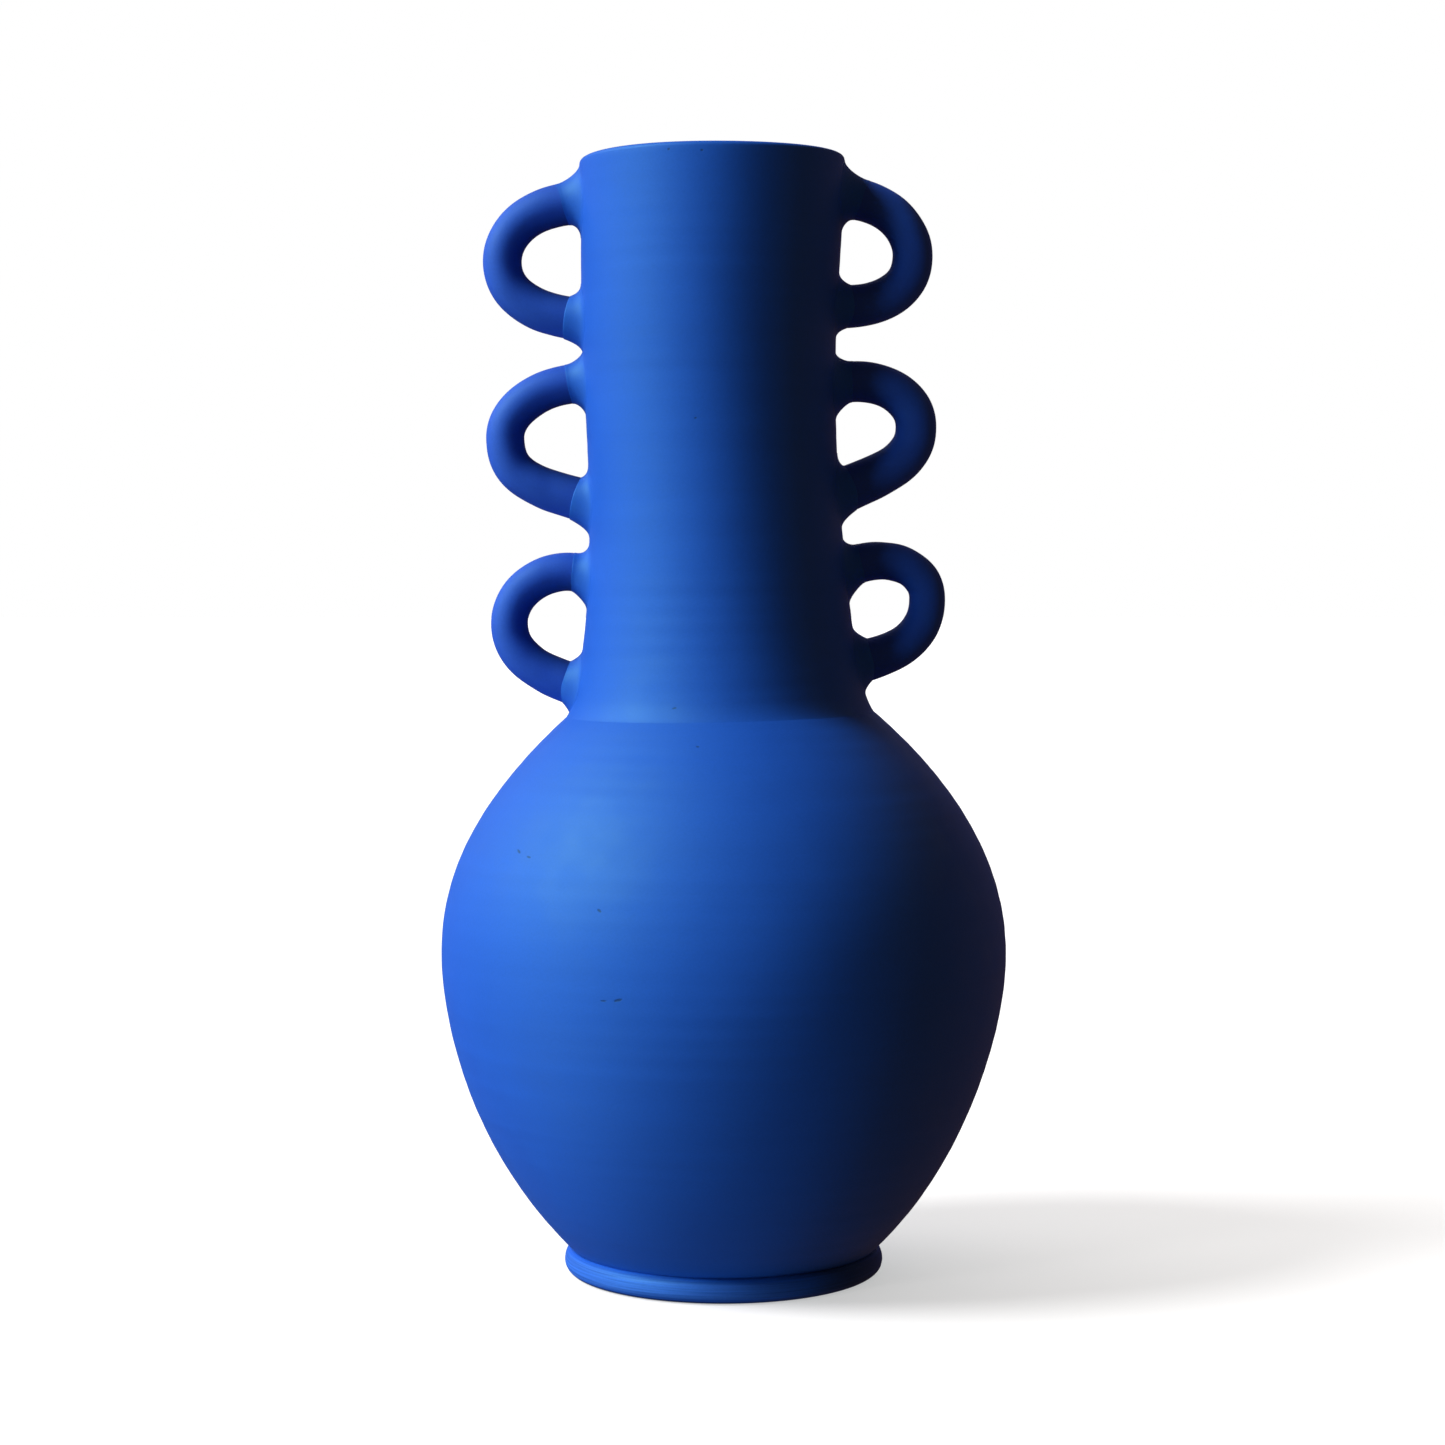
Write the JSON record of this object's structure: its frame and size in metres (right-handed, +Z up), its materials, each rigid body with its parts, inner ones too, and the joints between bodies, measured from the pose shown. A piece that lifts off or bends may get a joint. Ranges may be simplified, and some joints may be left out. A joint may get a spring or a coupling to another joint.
{
  "type": "amphora vase",
  "caption": "Tall matte cobalt-blue ceramic amphora: round belly on a beaded foot ring, long slender neck and a column of loop handles down each side.",
  "frame": {"origin": "centre of the foot ring's underside, on the belly's axis, on the surface that the vase stands on", "axes": "+Z up along the belly's axis, +X and -X towards the two columns of loop handles, -Y towards the front"},
  "size_m": [0.1622, 0.1622, 0.3209],
  "materials": {
    "matte_cobalt": "velvety matte cobalt slip, unglazed, with faint throwing rings",
    "brushed_foot": "matte cobalt slip brushed round the foot, slightly smoother than the body"
  },
  "bodies": {
    "root": {"foot_ring": "brushed_foot", "belly": "matte_cobalt", "neck": "matte_cobalt", "handle_left_top": "matte_cobalt", "handle_left_middle": "matte_cobalt", "handle_left_bottom": "matte_cobalt", "handle_right_top": "matte_cobalt", "handle_right_middle": "matte_cobalt", "handle_right_bottom": "matte_cobalt", "collar_left_top_upper": "matte_cobalt", "collar_left_top_lower": "matte_cobalt", "collar_left_middle_upper": "matte_cobalt", "collar_left_middle_lower": "matte_cobalt", "collar_left_bottom_upper": "matte_cobalt", "collar_left_bottom_lower": "matte_cobalt", "collar_right_top_upper": "matte_cobalt", "collar_right_top_lower": "matte_cobalt", "collar_right_middle_upper": "matte_cobalt", "collar_right_middle_lower": "matte_cobalt", "collar_right_bottom_upper": "matte_cobalt", "collar_right_bottom_lower": "matte_cobalt"}
  },
  "joints": []
}
